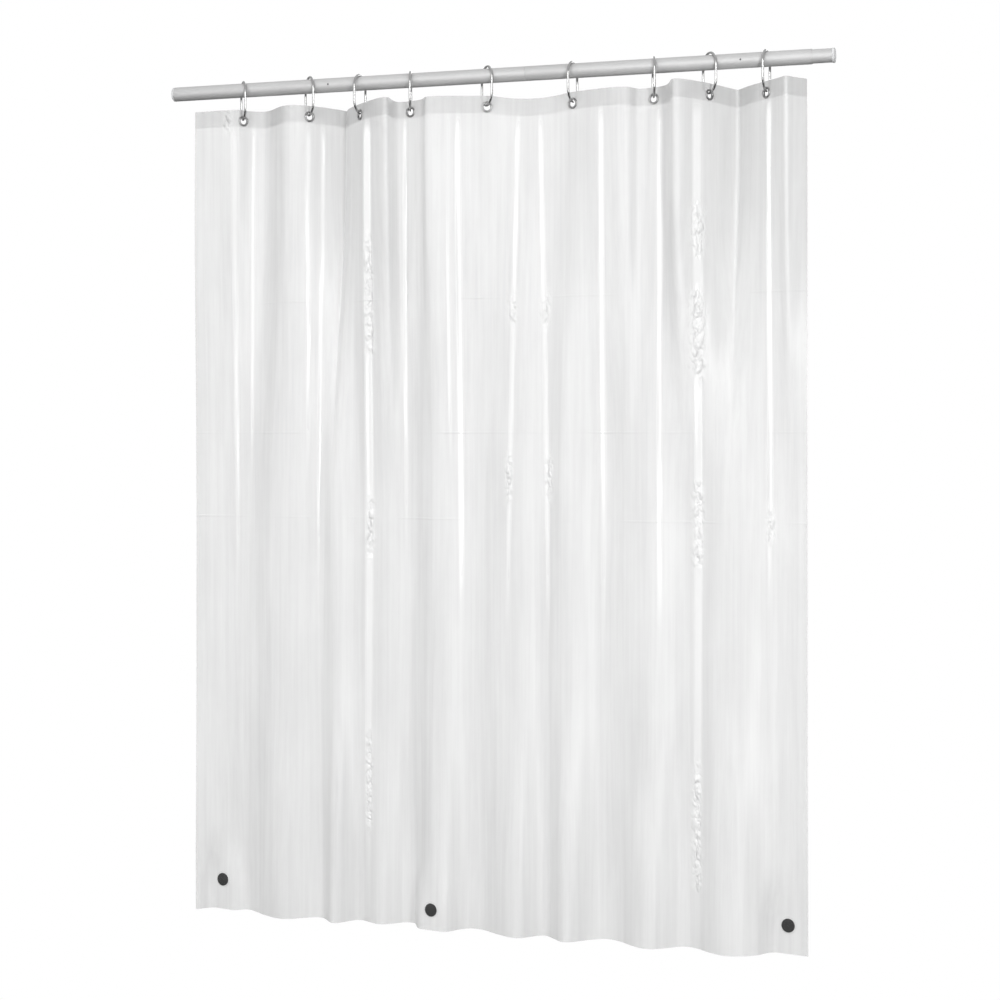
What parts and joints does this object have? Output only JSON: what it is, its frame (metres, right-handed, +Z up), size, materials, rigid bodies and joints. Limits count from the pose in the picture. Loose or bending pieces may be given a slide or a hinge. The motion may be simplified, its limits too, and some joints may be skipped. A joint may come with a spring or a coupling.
{
  "type": "shower curtain",
  "caption": "Frosted clear plastic shower liner hung by oval wire rings and eyelets from a telescoping tension rod, with weight magnets near its bottom edge",
  "frame": {"origin": "centre of the left foot's wall face, on the rod's axis", "axes": "+X along the rod to the right foot, +Z up, the front of the curtain faces -Y"},
  "size_m": [1.524, 0.1478, 1.8981],
  "materials": {
    "rod_metal": "satin grey metal tube",
    "foot_plastic": "light grey soft plastic",
    "rivet_metal": "plain steel",
    "lock_plastic": "dark moulded plastic",
    "clear_film": "frosted clear soft plastic film",
    "pocket_film": "clear welded film",
    "ring_chrome": "polished wire",
    "eyelet_metal": "bright rolled metal",
    "magnet_grey": "dark grey disc magnet"
  },
  "bodies": {
    "rod": {"outer_tube": "rod_metal", "glide_sleeve": "rod_metal", "left_foot": "foot_plastic", "stop_rivet": "rivet_metal", "sleeve_rivet": "rivet_metal"},
    "lock": {"lock_plug": "lock_plastic", "lock_cone": "lock_plastic"},
    "rod_end": {"inner_tube": "rod_metal", "tube_insert": "lock_plastic", "lock_spindle": "rivet_metal", "right_foot": "foot_plastic"},
    "curtain": {"liner_film": "clear_film", "header_band": "clear_film"},
    "hanger_1": {"ring_1": "ring_chrome", "eyelet_1": "eyelet_metal", "washer_1": "eyelet_metal"},
    "hanger_2": {"ring_2": "ring_chrome", "eyelet_2": "eyelet_metal", "washer_2": "eyelet_metal"},
    "hanger_3": {"ring_3": "ring_chrome", "eyelet_3": "eyelet_metal", "washer_3": "eyelet_metal"},
    "hanger_4": {"ring_4": "ring_chrome", "eyelet_4": "eyelet_metal", "washer_4": "eyelet_metal"},
    "hanger_5": {"ring_5": "ring_chrome", "eyelet_5": "eyelet_metal", "washer_5": "eyelet_metal"},
    "hanger_6": {"ring_6": "ring_chrome", "eyelet_6": "eyelet_metal", "washer_6": "eyelet_metal"},
    "hanger_7": {"ring_7": "ring_chrome", "eyelet_7": "eyelet_metal", "washer_7": "eyelet_metal"},
    "hanger_8": {"ring_8": "ring_chrome", "eyelet_8": "eyelet_metal", "washer_8": "eyelet_metal"},
    "hanger_9": {"ring_9": "ring_chrome", "eyelet_9": "eyelet_metal", "washer_9": "eyelet_metal"},
    "weight_1": {"magnet_1": "magnet_grey", "magnet_pocket_1": "pocket_film"},
    "weight_2": {"magnet_2": "magnet_grey", "magnet_pocket_2": "pocket_film"},
    "weight_3": {"magnet_3": "magnet_grey", "magnet_pocket_3": "pocket_film"}
  },
  "joints": [
    {"name": "rod_extend", "type": "slide", "parent": "rod", "child": "lock", "axis": [1, 0, 0], "range_m": [-0.024, 0.3]},
    {"name": "rod_twist", "type": "hinge", "parent": "lock", "child": "rod_end", "pos_m": [0.433, 0, 0], "axis": [1, 0, 0], "range_deg": [-180, 180]},
    {"name": "curtain_swing", "type": "hinge", "parent": "rod", "child": "curtain", "pos_m": [0.762, 0, 0], "axis": [1, 0, 0], "range_deg": [-25, 25]},
    {"name": "curtain_draw", "type": "slide", "parent": "curtain", "child": "hanger_9", "axis": [-1, 0, 0], "range_m": [0, 0.93669], "deforming": ["liner_film", "header_band"]},
    {"name": "hanger_1_slide", "type": "slide", "parent": "curtain", "child": "hanger_1", "axis": [-1, 0, 0], "range_m": [0, 0.09377]},
    {"name": "hanger_2_slide", "type": "slide", "parent": "curtain", "child": "hanger_2", "axis": [-1, 0, 0], "range_m": [0, 0.20866]},
    {"name": "hanger_3_slide", "type": "slide", "parent": "curtain", "child": "hanger_3", "axis": [-1, 0, 0], "range_m": [0, 0.2946]},
    {"name": "hanger_4_slide", "type": "slide", "parent": "curtain", "child": "hanger_4", "axis": [-1, 0, 0], "range_m": [0, 0.37936]},
    {"name": "hanger_5_slide", "type": "slide", "parent": "curtain", "child": "hanger_5", "axis": [-1, 0, 0], "range_m": [0, 0.50459]},
    {"name": "hanger_6_slide", "type": "slide", "parent": "curtain", "child": "hanger_6", "axis": [-1, 0, 0], "range_m": [0, 0.64136]},
    {"name": "hanger_7_slide", "type": "slide", "parent": "curtain", "child": "hanger_7", "axis": [-1, 0, 0], "range_m": [0, 0.76718]},
    {"name": "hanger_8_slide", "type": "slide", "parent": "curtain", "child": "hanger_8", "axis": [-1, 0, 0], "range_m": [0, 0.85194]},
    {"name": "weight_1_slide", "type": "slide", "parent": "curtain", "child": "weight_1", "axis": [-1, 0, 0], "range_m": [0, 0.05292]},
    {"name": "weight_2_slide", "type": "slide", "parent": "curtain", "child": "weight_2", "axis": [-1, 0, 0], "range_m": [0, 0.41931]},
    {"name": "weight_3_slide", "type": "slide", "parent": "curtain", "child": "weight_3", "axis": [-1, 0, 0], "range_m": [0, 0.96592]}
  ],
  "couplings": [
    {"joint": "hanger_1_slide", "follows": "curtain_draw", "ratio": 0.1001},
    {"joint": "hanger_2_slide", "follows": "curtain_draw", "ratio": 0.22276},
    {"joint": "hanger_3_slide", "follows": "curtain_draw", "ratio": 0.31451},
    {"joint": "hanger_4_slide", "follows": "curtain_draw", "ratio": 0.40499},
    {"joint": "hanger_5_slide", "follows": "curtain_draw", "ratio": 0.53869},
    {"joint": "hanger_6_slide", "follows": "curtain_draw", "ratio": 0.6847},
    {"joint": "hanger_7_slide", "follows": "curtain_draw", "ratio": 0.81903},
    {"joint": "hanger_8_slide", "follows": "curtain_draw", "ratio": 0.90951},
    {"joint": "weight_1_slide", "follows": "curtain_draw", "ratio": 0.05649},
    {"joint": "weight_2_slide", "follows": "curtain_draw", "ratio": 0.44764},
    {"joint": "weight_3_slide", "follows": "curtain_draw", "ratio": 1.0312}
  ]
}
